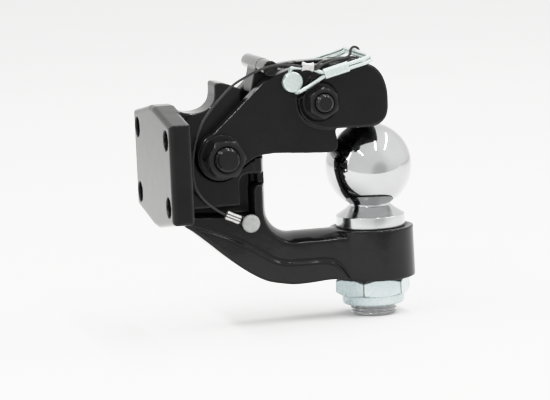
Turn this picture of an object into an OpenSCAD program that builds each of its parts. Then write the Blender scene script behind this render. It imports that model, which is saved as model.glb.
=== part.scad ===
// Combination ball and pintle hook for a bolt-on tow plate.
// Millimetres. Origin: centre of the bolt pattern on the mounting face.
// +X points away from the vehicle, +Z up, the lanyard side is -Y.

/* [Mounting plate] */
// Thickness of the mounting plate
plate_t = 15; // [12:0.5:18]
// Half of the plate's width
plate_half_w = 55; // [54:0.5:60]
// Half of the plate's height at its side edges
plate_edge_h = 33; // [31:0.5:35]
// Half of the plate's height at its middle
plate_mid_h = 41; // [41:0.5:44]
// Hole spacing across the plate
hole_dy = 85.73; // [84:0.01:88]
// Hole spacing up the plate
hole_dz = 44.45; // [42:0.01:46]
// Mounting hole diameter
hole_d = 13.5; // [12:0.1:14]

/* [Tow ball] */
// Ball diameter
ball_d = 58.74; // [58:0.01:59]
// Distance of the ball's axis from the mounting face
ball_x = 149.5; // [149:0.5:151]
// Height of the ball's centre
ball_z = -10.2; // [-11:0.1:-10]
// Shank diameter
shank_d = 31.75; // [30:0.05:32]
// Ball flange diameter
flange_d = 46.9; // [44:0.1:48]
// Diameter of the boss under the ball
boss_d = 57.2; // [56:0.1:59]
// Width across the flats of the ball nut
nut_af = 46; // [44:0.1:48]

/* [Jaw] */
// Gap between the jaw's cheeks
jaw_gap = 25; // [25:0.1:26]
// Thickness of one cheek
cheek_t = 10; // [9:0.5:11]
// Width of the nose
nose_w = 55; // [54:0.5:56]
// Pivot bolt diameter
pivot_d = 16; // [15:0.5:16]
// Latch bolt diameter
latch_d = 12; // [11:0.5:12]
// Safety pin diameter
pin_d = 8; // [7:0.5:8]

/* [Latch] */
// Width of the latch lever
lever_w = 21; // [20:0.5:24]
// Handle rod diameter
rod_d = 10.3; // [10:0.1:10.5]
// Handle rod length
rod_l = 60.4; // [58:0.1:60.8]

/* [Lanyard] */
// Cable diameter
cable_d = 1.8; // [1.6:0.1:2]
// Bail wire diameter
wire_d = 2.6; // [2.4:0.1:2.8]

/* [Hidden] */
$fn = 64;

// joint axes, [x, z]
pivot = [41.7, 6];
latch = [109.5, 39];
pin = [92, 52.8];
rod = [76.2, 63.4];

web_h = 11;                      // half thickness of the web
block_h = 19;                    // half thickness of the hub's side blocks
arm_h = 20;                      // half thickness of the arm
rim_h = 21.8;                    // half thickness of the arm's lower rim
cheek_i = jaw_gap / 2;
cheek_o = cheek_i + cheek_t;
nose_h = nose_w / 2;
boss_top = -51.5;
boss_bot = -86;
thread_end = -111.8;
throat_c = [93, -32.5];          // centre of the throat's corner
throat_r = 23.9;                 // its radius along the arm's side
crown = 5.7;                     // how far the throat's face stands out at the middle
crown_r = (arm_h * arm_h + crown * crown) / (2 * crown);
latch_turn = 25;                 // full lift of the latch
pin_r = norm(pin - latch);
pin_a = atan2(pin[1] - latch[1], pin[0] - latch[0]);

// ---- helpers ----
// 2-D outline in X-Z, h either side of the middle plane
module slab(h) { rotate([90, 0, 0]) linear_extrude(2 * h, center = true) children(); }
// the same outline between y0 and y1
module slab_between(y0, y1) {
    translate([0, y1, 0]) rotate([90, 0, 0]) linear_extrude(y1 - y0) children();
}
// round bar along Y from y0 to y1 at p = [x, z]
module ybar(p, r, y0, y1) { translate([p[0], y1, p[1]]) rotate([90, 0, 0]) cylinder(r = r, h = y1 - y0); }
function cr(a, b, c, d, t) = 0.5 * (2 * b + (c - a) * t + (2 * a - 5 * b + 4 * c - d) * t * t
                                   + (3 * b - a - 3 * c + d) * t * t * t);
// smooth curve through points
function smooth(p, n = 3) = concat(
    [for (i = [0 : len(p) - 2]) for (k = [0 : n - 1])
        cr(p[max(i - 1, 0)], p[i], p[i + 1], p[min(i + 2, len(p) - 1)], k / n)],
    [p[len(p) - 1]]);
function unit(v) = v / norm(v);
function arc(c, r, a0, a1, n = 12) = [for (i = [0 : n]) c + r * [cos(a0 + (a1 - a0) * i / n), sin(a0 + (a1 - a0) * i / n)]];
// tube of radius r with s sides along the points p; ref is never parallel to the path
module tube(p, r, s, ref) {
    n = len(p);
    tan_at = [for (i = [0 : n - 1]) unit(p[min(i + 1, n - 1)] - p[max(i - 1, 0)])];
    u = [for (i = [0 : n - 1]) unit(cross(tan_at[i], ref))];
    v = [for (i = [0 : n - 1]) cross(tan_at[i], u[i])];
    pts = [for (i = [0 : n - 1]) for (k = [0 : s - 1])
        p[i] + r * (cos(360 * k / s) * u[i] + sin(360 * k / s) * v[i])];
    faces = concat(
        [for (i = [0 : n - 2]) for (k = [0 : s - 1]) [i * s + k, i * s + (k + 1) % s, (i + 1) * s + (k + 1) % s]],
        [for (i = [0 : n - 2]) for (k = [0 : s - 1]) [i * s + k, (i + 1) * s + (k + 1) % s, (i + 1) * s + k]],
        [[for (k = [s - 1 : -1 : 0]) k]],
        [[for (k = [0 : s - 1]) (n - 1) * s + k]]);
    polyhedron(pts, faces);
}

// ---- body ----
module plate_outline() {
    polygon([[-plate_half_w, -plate_edge_h], [-plate_half_w, plate_edge_h], [-6, plate_mid_h], [6, plate_mid_h],
             [plate_half_w, plate_edge_h], [plate_half_w, -plate_edge_h], [6, -plate_mid_h], [-6, -plate_mid_h]]);
}
// sweep from the plate up to the catch tooth, and the tooth's top
web_sweep = [[15, 38], [20, 36], [25, 34.9], [30, 34.9], [35, 36.2], [38.5, 38.5], [41, 41.8], [42, 46], [42.2, 53]];
module web_outline() {
    polygon(concat([[8, 38.4]], smooth(web_sweep, 2),
        [[43.4, 54.2], [47.5, 53.9], [52.2, 52.5], [57, 50.4], [60.5, 48.6], [60.5, 34], [69.5, 12], [69.5, -30], [60, -46], [8, -38]]));
}
module block_outline() {
    difference() {
        polygon([[8, 9], [25.5, 9], [41.7, -4], [56.9, -3.2], [63.4, 1.2], [68.7, 3.4], [68.7, -7.5], [59.5, -7.5],
                 [56.5, -8.6], [54.8, -11.4], [54.5, -14], [54.5, -28.5], [8, -28.5]]);
        translate(pivot) circle(r = 16.8);
    }
}
arm_bottom = [[128, -83.6], [113.8, -83.2], [103.3, -84], [90.7, -84.4], [84.5, -83.7], [72.1, -81.1], [63.9, -77.3],
              [54.2, -71], [42.3, -61.6], [30.6, -51.4], [20.6, -43], [13, -38]];
rim_top = [[10, -36.5], [18.9, -39], [31, -43.2], [39.8, -46.8], [47.9, -50.3], [61, -57.2], [70.1, -63.2], [76.1, -66.7],
           [83.3, -68.9], [97.6, -69.6], [110.1, -69.7], [117.8, -71.6], [123.1, -77], [127, -83]];
module arm_outline() {
    polygon(concat(
        [[8, -33.4], [22, -33.5], [39, -34.6], [63.6, -35.2], [63.6, -18.5], [64.3, -16], [66.4, -14.7], [68.2, -15.2], [68.7, -17]],
        arc(throat_c, throat_r + 0.4, 180, 270, 10),
        [[104, -56.5], [120, -55.5], [140, -55.2], [140, -82.2]],
        smooth([for (q = arm_bottom) q + [0.4, 1.4]]), [[8, -36]]));
}
module rim_outline() { polygon(concat(smooth(rim_top), [[128, -83.6]], smooth(arm_bottom), [[10, -37.5]])); }
// section of the throat's face: out = how deep it goes behind the face
module crown_section(face, deep) {
    intersection() {
        translate([face + crown_r, 0]) circle(r = crown_r, $fn = 128);
        translate([face - 1, 0.3 - arm_h]) square([deep + 1, 2 * arm_h - 0.6]);
    }
}
module throat_face() {
    // wall
    translate([0, 0, throat_c[1]]) mirror([1, 0, 0])
        translate([-throat_c[0], 0, 0]) linear_extrude(-throat_c[1] + 3) crown_section(throat_r - crown, crown + 4);
    // corner
    translate([throat_c[0], 0, throat_c[1]]) rotate([90, 0, 0]) rotate([0, 0, 180])
        rotate_extrude(angle = 90, $fn = 96) crown_section(throat_r - crown, crown + 5);
    // floor, up to the ball's flange
    translate([throat_c[0], 0, throat_c[1]]) rotate([0, 90, 0])
        linear_extrude(ball_x - throat_c[0]) crown_section(throat_r - crown, crown + 5);
}
// deep groove between the hub's block and the arm, on side s
module groove(s) {
    mirror([0, s > 0 ? 0 : 1, 0]) {
        slab_between(5, 30) polygon([[15.6, -28.35], [54.35, -28.35], [54.35, -14], [54.7, -11.3], [56.4, -8.5], [59.5, -7.35], [64.6, -7.35],
                                     [64.6, -15.9], [63.75, -18.5], [63.75, -35.35], [39, -34.75], [22, -33.65], [15.6, -33.6]]);
        slab_between(11, 30) polygon([[64, -7.35], [74, -7.35], [74, -14.9], [68.4, -15.05], [66.4, -14.85], [64.4, -16.2], [64, -16.2]]);
    }
}
module body() {
    color([0.06, 0.06, 0.065]) difference() {
        union() {
            rotate([90, 0, 90]) linear_extrude(plate_t) plate_outline();
            slab(web_h) web_outline();
            slab(block_h) block_outline();
            slab(arm_h) arm_outline();
            slab(rim_h) rim_outline();
            throat_face();
            translate([ball_x, 0, boss_bot]) cylinder(d = boss_d, h = boss_top - boss_bot);
        }
        for (sy = [-1, 1], sz = [-1, 1])
            translate([-1, sy * hole_dy / 2, sz * hole_dz / 2]) rotate([0, 90, 0]) cylinder(d = hole_d, h = plate_t + 2);
        ybar(pivot, pivot_d / 2 + 0.05, -30, 30);
        translate([ball_x, 0, boss_bot - 5]) cylinder(d = shank_d + 0.4, h = 60);
        translate([ball_x, 0, boss_top - 0.3]) cylinder(d = flange_d + 2.6, h = 20);
        ybar([59.9, -40], 3.05, -30, -8);
        for (s = [-1, 1]) groove(s);
    }
}

// ---- ball ----
module tow_ball() {
    r = ball_d / 2;
    nk = 14.3;                                     // neck radius
    zn = ball_z - sqrt(r * r - nk * nk);           // where the ball meets the neck
    fr = flange_d / 2;
    ft = boss_top + 8;
    color([0.82, 0.83, 0.85]) difference() {
        union() {
            difference() {
                translate([ball_x, 0, ball_z]) sphere(r = r, $fn = 128);
                translate([ball_x - 40, -40, ball_z + r - 1]) cube([80, 80, 20]);
            }
            translate([ball_x, 0, 0]) rotate_extrude($fn = 96) polygon(concat(
                [[0, ball_z], [nk - 2, ball_z], [nk, zn], [nk, zn - 0.8]],
                [for (i = [1 : 7]) [nk + (fr - nk) * pow(i / 8, 1.25), zn - 0.8 + (ft - zn + 0.8) * i / 8]],
                [[fr, ft], [fr, boss_top + 0.3], [fr - 0.6, boss_top - 0.3], [shank_d / 2, boss_top - 0.3],
                 [shank_d / 2, thread_end + 1.5], [shank_d / 2 - 1.5, thread_end], [0, thread_end]]));
        }
    }
}
module hex(af, h) { cylinder(r = af / sqrt(3), h = h, $fn = 6); }
module ball_nut() {
    color([0.78, 0.82, 0.86]) translate([ball_x, 0, 0]) difference() {
        union() {
            intersection() {
                translate([0, 0, -98]) hex(nut_af, 98 + boss_bot);
                union() {
                    translate([0, 0, -98]) cylinder(r1 = nut_af / 2 + 1, r2 = nut_af / 2 + 3.6, h = 3);
                    translate([0, 0, -95]) cylinder(r = nut_af / 2 + 3.6, h = 6.5);
                    translate([0, 0, -88.5]) cylinder(r1 = nut_af / 2 + 3.6, r2 = nut_af / 2 - 0.4, h = 2.5);
                }
            }
            translate([0, 0, -104.2]) cylinder(d = 42.6, h = 7);
        }
        translate([0, 0, -106]) cylinder(d = shank_d + 0.1, h = 30);
        translate([0, 0, -103.4]) cylinder(d = 38.6, h = 4.6);
    }
}
module ball_nut_insert() {
    color([0.75, 0.78, 0.75]) translate([ball_x, 0, -103.3]) difference() {
        cylinder(d = 38.4, h = 4.4);
        translate([0, 0, -1]) cylinder(d = shank_d + 0.1, h = 8);
    }
}

// ---- jaw ----
jaw_top = [[73.2, 53.9], [78, 56.3], [82.7, 58.2], [90.7, 60.9], [100, 62.4], [112, 62.8], [131, 62.6]];
jaw_tip = [[123.5, 20.5], [121.4, 18], [121.9, 13.6], [122.6, 8.8], [121.8, 5.4], [118.8, 3.7], [112.8, 3.6], [106, 3.9], [96, 4.5],
           [85.6, 5.3], [79.7, 5.6], [75.2, 5.5], [68.3, 4.8], [62.7, 2.5], [56.3, -1.8], [52.4, -5.5]];
module cheek_outline() {
    translate(pivot) circle(r = 16);
    polygon(concat([[32, 16.8]], smooth(jaw_top, 2), [[136, 58], [136, 26]], smooth(jaw_tip, 2), [[41.7, -8]]));
}
nose_pts = [[95.2, 41.5], [96, 34], [98.6, 28.6], [103, 24.3], [109, 21.5], [117.4, 20], [129.9, 19.6], [140.3, 19.1], [147, 19.3],
            [152, 21.2], [155.8, 25], [157.4, 30], [157.7, 36], [157.5, 42.5], [156.2, 48.6], [153.6, 54.6], [149.8, 58.9], [146, 61.2],
            [143, 62.2], [138, 62.5], [131, 62.4], [124, 61], [114, 58.4], [105, 54.6], [101.4, 47.6], [98.4, 44]];
module nose_outline() { polygon(smooth(concat(nose_pts, [nose_pts[0]]), 2)); }
module jaw() {
    color([0.055, 0.055, 0.06]) difference() {
        union() {
            slab(cheek_o) cheek_outline();
            slab(nose_h) nose_outline();
        }
        // slot for the web and the latch, open to the rear and the top
        slab(cheek_i) polygon([[10, -20], [69, -20], [94.5, -2], [94.5, 20], [98, 24], [118.5, 24], [121.5, 25.2], [122.8, 28], [122.8, 80], [10, 80]]);
        ybar(pivot, pivot_d / 2 + 0.05, -40, 40);
        ybar(latch, latch_d / 2 + 0.05, -40, 40);
        ybar(pin, pin_d / 2 + 0.08, -40, 40);
        for (s = [-1, 1]) translate([latch[0], s * (nose_h + 2 - 0.6), latch[1]]) rotate([90, 0, 0]) cylinder(r = 13.6, h = 4, center = true);
    }
}
// hexagon along Y; turn 0 has two flats level, 30 two corners upright
module yhex(p, af, y0, y1, turn) { translate([p[0], y1, p[1]]) rotate([90, 0, 0]) rotate([0, 0, turn]) hex(af, y1 - y0); }
// hexagon with its outer corners taken off at y = yo
module yhex_chamfered(p, af, y0, y1, outer, turn) {
    rr = af / sqrt(3);
    intersection() {
        yhex(p, af, y0, y1, turn);
        translate([p[0], 0, p[1]]) rotate([90, 0, 0]) rotate_extrude() polygon(outer < 0
            ? [[0, -y1], [rr + 1, -y1], [rr + 1, -y0 - 2.6], [af / 2 - 0.4, -y0], [0, -y0]]
            : [[0, -y1], [af / 2 - 0.4, -y1], [rr + 1, -y1 + 2.6], [rr + 1, -y0], [0, -y0]]);
    }
}
// bolt along Y: head at +Y, end at -Y
module ybolt(p, d, af, y_end, y_head, head_h, turn) {
    yhex_chamfered(p, af, y_head, y_head + head_h, 1, turn);
    translate([p[0], 0, p[1]]) rotate([90, 0, 0]) rotate_extrude() polygon(
        [[0, -y_head - 1], [d / 2, -y_head - 1], [d / 2, -y_end - 1.8], [d / 2 - 1.8, -y_end], [0, -y_end]]);
}
module ynut(p, d, af, y0, y1, turn) {
    difference() { yhex_chamfered(p, af, y0, y1, -1, turn); ybar(p, d / 2 + 0.05, y0 - 1, y1 + 1); }
}
module washer_pair(p, d, od, y0, t) {
    for (s = [-1, 1]) translate([p[0], s * (y0 + t / 2), p[1]]) rotate([90, 0, 0]) difference() {
        cylinder(d = od, h = t, center = true);
        cylinder(d = d + 0.4, h = t + 2, center = true);
    }
}
piv_y = cheek_o + 0.2;          // inner face of the pivot washers
lat_y = nose_h - 0.6;           // inner face of the latch washers
module jaw_pivot_bolt() { color([0.07, 0.07, 0.075]) ybolt(pivot, pivot_d, 24, -43.5, piv_y + 2.5, 10, 0); }
module jaw_pivot_nut() { color([0.07, 0.07, 0.075]) ynut(pivot, pivot_d, 24, -piv_y - 16.5, -piv_y - 2.5, 0); }
module jaw_pivot_washers() { color([0.08, 0.08, 0.085]) washer_pair(pivot, pivot_d, 30, piv_y, 2.5); }
module latch_bolt() { color([0.07, 0.07, 0.075]) ybolt(latch, latch_d, 19, -43.2, lat_y + 2.5, 7.5, 30); }
module latch_nut() { color([0.07, 0.07, 0.075]) ynut(latch, latch_d, 19, -lat_y - 13.1, -lat_y - 2.5, 30); }
module latch_washers() { color([0.08, 0.08, 0.085]) washer_pair(latch, latch_d, 24, lat_y, 2.5); }

// ---- latch ----
module lever_outline() {
    translate(latch) circle(r = 11);
    translate(rod) circle(r = 5.8);
    polygon([[70.5, 62.4], [69.7, 58.8], [68.2, 52.6], [67, 47.6], [66.8, 46], [67.4, 45.2], [72, 44.4], [80, 35], [100, 28.5], [109.5, 28],
             [112, 49.6], [105, 55.2], [96, 59.6], [84, 60.6], [78.4, 68.7], [75, 69]]);
}
module latch_lever() {
    color([0.07, 0.07, 0.075]) difference() {
        slab(lever_w / 2) lever_outline();
        ybar(latch, latch_d / 2 + 0.05, -20, 20);
        ybar(rod, rod_d / 2 + 0.03, -20, 20);
        // arc slot round the safety pin, as long as the latch's lift
        translate([latch[0], 0, latch[1]]) rotate([90, 0, 0]) {
            rotate([0, 0, pin_a - 2]) rotate_extrude(angle = latch_turn + 4, $fn = 96)
                translate([pin_r - pin_d / 2 - 0.4, -20]) square([pin_d + 0.8, 40]);
            for (a = [pin_a - 2, pin_a + latch_turn + 2])
                rotate([0, 0, a]) translate([pin_r, 0, -20]) cylinder(r = pin_d / 2 + 0.4, h = 40);
        }
    }
}
module latch_handle_rod() {
    color([0.10, 0.10, 0.105]) translate([rod[0], 0, rod[1]]) rotate([90, 0, 0]) rotate_extrude() polygon(
        [[0, -rod_l / 2], [rod_d / 2 - 0.8, -rod_l / 2], [rod_d / 2, -rod_l / 2 + 0.8],
         [rod_d / 2, rod_l / 2 - 0.8], [rod_d / 2 - 0.8, rod_l / 2], [0, rod_l / 2]]);
}

// ---- safety pin ----
head_y = [-28, -22.8];          // faces of the pin's head
module safety_pin() {
    r = pin_d / 2;
    color([0.78, 0.81, 0.85]) translate([pin[0], 0, pin[1]]) rotate([90, 0, 0]) rotate_extrude() polygon(
        [[0, -34], [r - 1.5, -34], [r, -32.5], [r, -31.5], [r - 0.7, -31], [r - 0.7, -28.4], [r, -27.9], [r, -head_y[1]],
         [6.1, -head_y[1]], [6.9, -head_y[1] + 0.8], [6.9, -head_y[0] - 1], [6.1, -head_y[0]], [0, -head_y[0]]]);
}
// route of the bail's wire, [x, y, z]
bail_y = 32;
clip_at = [120.6, 59.4];        // middle of the clip
clip_a = 14;                    // its slope
// point t along the clip and d across it, on side s
function clip_pt(t, d, s) = [clip_at[0] + t * cos(clip_a) - d * sin(clip_a), s * bail_y, clip_at[1] + t * sin(clip_a) + d * cos(clip_a)];
bail_near_a = concat([[90.6, -25.6, 58.4], [90.6, -25.8, 60.5], [91.4, -27.6, 62.4], [94, -29.8, 62.9], [99, -31.6, 62.3], [105, -bail_y, 60.9]],
               [for (t = [-9, 0, 9, 16, 20.5]) clip_pt(t, 1.45, -1)], [[143.4, -31.2, 67.2], [144.3, -28.4, 67.6]]);
bail_far_a = concat([[144.4, 0, 67.8], [144.3, 28.4, 67.6], [143.4, 31.2, 67.2]], [for (t = [20.5, 9, 0, -9]) clip_pt(t, 1.45, 1)],
              [[104, 30.8, 58.9], [96.5, 29.7, 57.9]]);
bail_loop = [[92, 29.7, 58.3], [88.2, 29.7, 56.7], [86.6, 29.7, 53], [88, 29.7, 49.2], [91.8, 29.7, 47.4]];
bail_far_b = concat([[96.5, 29.7, 48.3], [104, 30.8, 52.4]], [for (t = [-9, 0, 9, 20.5]) clip_pt(t, -1.45, 1)],
              [[144.4, 31.2, 64.3], [145.2, 28.4, 64.8], [145.3, 0, 65.05]]);
bail_near_b = concat([[145.2, -28.4, 64.8], [144.4, -31.2, 64.3]], [for (t = [20.5, 16, 9, 0, -9]) clip_pt(t, -1.45, -1)],
               [[107, -bail_y, 52.9], [101, -31.5, 49.5], [97.2, -30, 47.3], [95.2, -27.6, 46.1], [94.1, -25.9, 45.9], [93.6, -25.6, 47.2]]);
module safety_pin_bail() {
    color([0.80, 0.83, 0.86])
        tube(smooth(concat(bail_near_a, bail_far_a, bail_loop, bail_far_b, bail_near_b), 2), wire_d / 2, 10, [-0.24, 0.02, 0.97]);
}
module bail_clip() {
    // flattened sleeve round both wires
    color([0.82, 0.84, 0.86]) translate([clip_at[0], -bail_y, clip_at[1]]) rotate([0, -clip_a, 0])
        rotate([0, 90, 0]) translate([0, 0, -8.6]) linear_extrude(17.2) difference() {
            union() {
                for (s = [-1, 1]) translate([s * 1.45, 0]) circle(r = 2.1);
                square([2.9, 4.2], center = true);
            }
            for (s = [-1, 1]) translate([s * 1.45, 0]) circle(r = 1.6);
            square([2.9, 3.2], center = true);
        }
}

// ---- lanyard ----
riv = [59.9, -40];
low_sleeve = [48.2, -22, -35.2];
low_turn = 25;                  // slope of the lower sleeve, degrees down towards the rivet
up_sleeve = [100.2, -35.3, 63.4];
up_turn = 8;
module sleeve_block(len, half) {
    // crimped double sleeve: two barrels side by side along X
    rotate([0, 90, 0]) translate([0, 0, -len / 2]) linear_extrude(len) union() {
        for (s = [-1, 1]) translate([s * half, 0]) circle(r = 1.7);
        square([2 * half, 3.1], center = true);
    }
}
module lanyard_lower_sleeve() { color([0.85, 0.86, 0.87]) translate(low_sleeve) rotate([0, low_turn, 0]) sleeve_block(10.2, 1.3); }
module lanyard_upper_sleeve() { color([0.85, 0.84, 0.84]) translate(up_sleeve) rotate([0, up_turn, 0]) sleeve_block(7.8, 1.45); }
function low_pt(x, z, y = 0) = low_sleeve + [x * cos(low_turn) + z * sin(low_turn), y, z * cos(low_turn) - x * sin(low_turn)];
function up_pt(x, z, y = 0) = up_sleeve + [x * cos(up_turn) + z * sin(up_turn), y, z * cos(up_turn) - x * sin(up_turn)];
main_route = concat([low_pt(-4.5, 0), low_pt(-7, 0)],
    [[36.2, -23.4, -28.6], [28, -26, -21.4], [22.6, -28, -13.4], [20.4, -29.6, -4], [20.6, -31, 8], [23.2, -32, 20.6], [27.4, -32.6, 30.6],
     [33.4, -33.2, 39], [40, -33.6, 46.2], [49, -34, 54.4], [58, -34.2, 59.4], [65, -34.4, 62.6], [73, -34.6, 65], [80.6, -34.8, 65.9], [89, -35, 65.2]],
    [up_pt(-7, 0), up_pt(-4.2, 0)]);
module lanyard_cable() { color([0.34, 0.33, 0.33]) tube(smooth(main_route, 2), cable_d / 2, 8, [0, 1, 0]); }
low_loop = concat([low_pt(4.5, 1.1), low_pt(6, 1.2, 0.4)],
    [[56.4, -21.3, -36], [59, -21.3, -35.4], [61.8, -21.3, -35.9], [64, -21.3, -37.8], [64.8, -21.3, -40.6], [63.8, -21.3, -43.3], [61, -21.3, -44.8],
     [58, -21.3, -44.4], [55.7, -21.3, -42]],
    [low_pt(6, -1.2, 0.4), low_pt(4.5, -1.1)]);
module lanyard_lower_loop() { color([0.34, 0.33, 0.33]) tube(smooth(low_loop, 2), cable_d / 2, 8, [0, 1, 0]); }
up_loop = concat([up_pt(3.6, 1.1), up_pt(5.9, 1.3)],
    [[110.8, -29.8, 65.3], [115.2, -22.8, 65], [123.6, -13, 64.6], [130.6, -5.2, 64.1], [136.2, 0.8, 63.9], [139.4, 3.8, 64.4], [141.3, 5.3, 66.2], [141.8, 6, 68.4],
     [143.4, 6.3, 70.1], [145.5, 6.4, 70.1], [147.2, 6.4, 68.9], [148, 6.4, 66.6], [147.9, 6.4, 64.2], [146.8, 6.3, 62.8], [145.2, 6, 62.68], [142.2, 4, 63.55],
     [138.4, 0, 63.65], [131.8, -7.2, 63.8], [124.4, -15.4, 64.15], [115.6, -25.2, 63.75], [110.2, -31.6, 63.1]],
    [up_pt(5.9, -1.1), up_pt(3.6, -1.1)]);
module lanyard_upper_loop() { color([0.34, 0.33, 0.33]) tube(smooth(up_loop, 2), cable_d / 2, 8, [0, 1, 0]); }
module lanyard_rivet() {
    color([0.83, 0.84, 0.85]) translate([riv[0], 0, riv[1]]) rotate([90, 0, 0]) rotate_extrude() polygon(
        [[0, 9], [3, 9], [3, 22.9], [6.15, 22.9], [6.15, 24.3], [5.4, 25.4], [3.6, 26.1], [0, 26.4]]);
}

body();
tow_ball();
ball_nut();
ball_nut_insert();
jaw();
jaw_pivot_bolt();
jaw_pivot_nut();
jaw_pivot_washers();
latch_lever();
latch_handle_rod();
latch_bolt();
latch_nut();
latch_washers();
safety_pin();
safety_pin_bail();
bail_clip();
lanyard_cable();
lanyard_lower_loop();
lanyard_lower_sleeve();
lanyard_upper_loop();
lanyard_upper_sleeve();
lanyard_rivet();
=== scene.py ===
import math

import bmesh
import bpy
import numpy as np
from mathutils import Matrix, Vector, noise

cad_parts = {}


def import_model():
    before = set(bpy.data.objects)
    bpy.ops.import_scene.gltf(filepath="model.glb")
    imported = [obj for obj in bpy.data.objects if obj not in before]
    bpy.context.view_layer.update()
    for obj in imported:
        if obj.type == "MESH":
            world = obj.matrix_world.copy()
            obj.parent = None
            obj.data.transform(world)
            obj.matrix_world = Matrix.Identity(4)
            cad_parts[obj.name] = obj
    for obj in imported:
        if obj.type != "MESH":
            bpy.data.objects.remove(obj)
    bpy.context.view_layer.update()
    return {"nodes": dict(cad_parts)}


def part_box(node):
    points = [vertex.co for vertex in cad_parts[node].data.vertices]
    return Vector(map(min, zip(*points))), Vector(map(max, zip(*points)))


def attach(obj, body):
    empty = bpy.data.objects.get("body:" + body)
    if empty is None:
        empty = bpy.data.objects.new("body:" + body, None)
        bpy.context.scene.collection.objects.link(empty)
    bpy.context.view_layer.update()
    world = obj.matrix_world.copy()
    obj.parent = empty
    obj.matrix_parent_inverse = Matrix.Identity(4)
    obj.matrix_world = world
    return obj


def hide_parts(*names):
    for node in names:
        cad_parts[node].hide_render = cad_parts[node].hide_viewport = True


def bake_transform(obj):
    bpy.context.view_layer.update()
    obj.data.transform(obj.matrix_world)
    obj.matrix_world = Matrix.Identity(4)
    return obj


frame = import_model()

NODES = frame["nodes"]
scene = bpy.context.scene
MM = 0.001
PI = math.pi
rad = math.radians


# ------------------------------------------------------------------ camera
def make_camera():
    az, el, roll = rad(-14.42), rad(8.33), rad(2.45)
    b = Vector((math.sin(az) * math.cos(el), -math.cos(az) * math.cos(el), math.sin(el)))
    r = Vector((math.cos(az), math.sin(az), 0))
    u = b.cross(r)
    r2 = math.cos(roll) * r - math.sin(roll) * u
    u2 = math.sin(roll) * r + math.cos(roll) * u
    loc = (Vector((90, 0, 0)) + b * 2185.61 + r2 * -5.46 + u2 * -29.22) * MM
    data = bpy.data.cameras.new("camera")
    data.sensor_width = 36
    data.lens = 36 * 3242.9 / 550
    data.clip_start, data.clip_end = 0.05, 60
    ob = bpy.data.objects.new("camera", data)
    scene.collection.objects.link(ob)
    ob.matrix_world = Matrix(((r2.x, u2.x, b.x, loc.x), (r2.y, u2.y, b.y, loc.y), (r2.z, u2.z, b.z, loc.z), (0, 0, 0, 1)))
    scene.camera = ob


make_camera()
scene.view_settings.view_transform = "Standard"


def tone():
    """A soft shoulder, so that the pale paper stays just under white."""
    vs = scene.view_settings
    vs.use_curve_mapping = True
    cm = vs.curve_mapping
    cm.white_level = (1.6, 1.6, 1.6)
    cm.extend = "EXTRAPOLATED"
    c = cm.curves[3]
    for x, y in ((0.125, 0.2), (0.25, 0.4), (0.4375, 0.685), (0.625, 0.84), (0.84375, 0.91)):
        c.points.new(x, y)
    c.points[-1].location = (1.0, 0.935)
    cm.update()


tone()


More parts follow.
